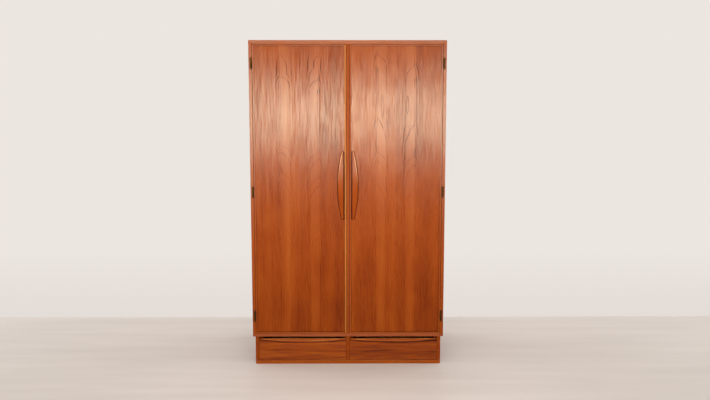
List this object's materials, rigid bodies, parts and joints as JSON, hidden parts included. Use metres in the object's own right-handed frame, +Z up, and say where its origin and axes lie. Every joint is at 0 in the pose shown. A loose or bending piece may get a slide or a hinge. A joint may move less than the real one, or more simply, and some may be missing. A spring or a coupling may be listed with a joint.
{
  "type": "wardrobe",
  "caption": "Two-door teak wardrobe with a shelved side and a hanging side, half-leaf handles, and a plinth with two scoop-fronted drawers.",
  "frame": {"origin": "centre of the bounding box on the floor", "axes": "+Z up, the doors face -Y, +X to the right when facing the doors"},
  "size_m": [1.07, 0.614, 1.8],
  "materials": {
    "teak_veneer": "oiled, satin, open grain",
    "teak_solid": "oiled, satin, hand-rounded edges",
    "teak_pale": "oiled, satin",
    "birch": "clear lacquer, matt",
    "brass": "aged, satin",
    "steel": "zinc plated, dull",
    "brown_plastic": "matt moulded"
  },
  "bodies": {
    "root": {"left_side": "teak_veneer", "right_side": "teak_veneer", "top_panel": "teak_veneer", "bottom_panel": "teak_veneer", "partition": "teak_veneer", "left_back": "birch", "right_back": "birch", "back_screws": "steel", "shelf_1": "teak_veneer", "shelf_2": "teak_veneer", "shelf_3": "teak_veneer", "shelf_4": "teak_veneer", "hat_shelf": "teak_veneer", "shelf_pins": "brass", "hanging_rail": "brass", "rail_sockets": "brass", "rail_socket_screws": "brass", "plinth_base": "teak_veneer", "plinth_left": "teak_veneer", "plinth_right": "teak_veneer", "plinth_divider": "teak_veneer", "plinth_back": "teak_veneer", "drawer_kickers": "teak_solid", "kicker_screws": "steel", "drawer_stops": "teak_solid", "left_frame_leaves": "brass", "right_frame_leaves": "brass", "hinge_pins": "brass", "frame_leaf_screws": "brass", "catch_housings": "brown_plastic", "catch_poles": "steel", "catch_screws": "brass"},
    "left_door": {"left_door_panel": "teak_veneer", "left_hinge_lipping": "teak_solid", "left_end_lippings": "teak_solid", "left_closing_lipping": "teak_pale", "left_handle": "teak_solid", "left_handle_screws": "brass", "left_door_leaves": "brass", "left_leaf_screws": "brass", "left_strike_plate": "steel"},
    "right_door": {"right_door_panel": "teak_veneer", "right_hinge_lipping": "teak_solid", "right_end_lippings": "teak_solid", "right_closing_lipping": "teak_solid", "right_handle": "teak_solid", "right_handle_screws": "brass", "right_door_leaves": "brass", "right_leaf_screws": "brass", "right_strike_plate": "steel"},
    "left_drawer": {"left_drawer_front": "teak_solid", "left_drawer_sides": "birch", "left_drawer_back": "birch", "left_drawer_bottom": "birch"},
    "right_drawer": {"right_drawer_front": "teak_solid", "right_drawer_sides": "birch", "right_drawer_back": "birch", "right_drawer_bottom": "birch"}
  },
  "joints": [
    {"name": "left_door_hinge", "type": "hinge", "parent": "root", "child": "left_door", "pos_m": [-0.5225, -0.2945, 0.978], "axis": [0, 0, -1], "range_deg": [0, 170]},
    {"name": "right_door_hinge", "type": "hinge", "parent": "root", "child": "right_door", "pos_m": [0.5225, -0.2945, 0.978], "axis": [0, 0, 1], "range_deg": [0, 170]},
    {"name": "left_drawer_slide", "type": "slide", "parent": "root", "child": "left_drawer", "axis": [0, -1, 0], "range_m": [0, 0.38]},
    {"name": "right_drawer_slide", "type": "slide", "parent": "root", "child": "right_drawer", "axis": [0, -1, 0], "range_m": [0, 0.38]}
  ]
}
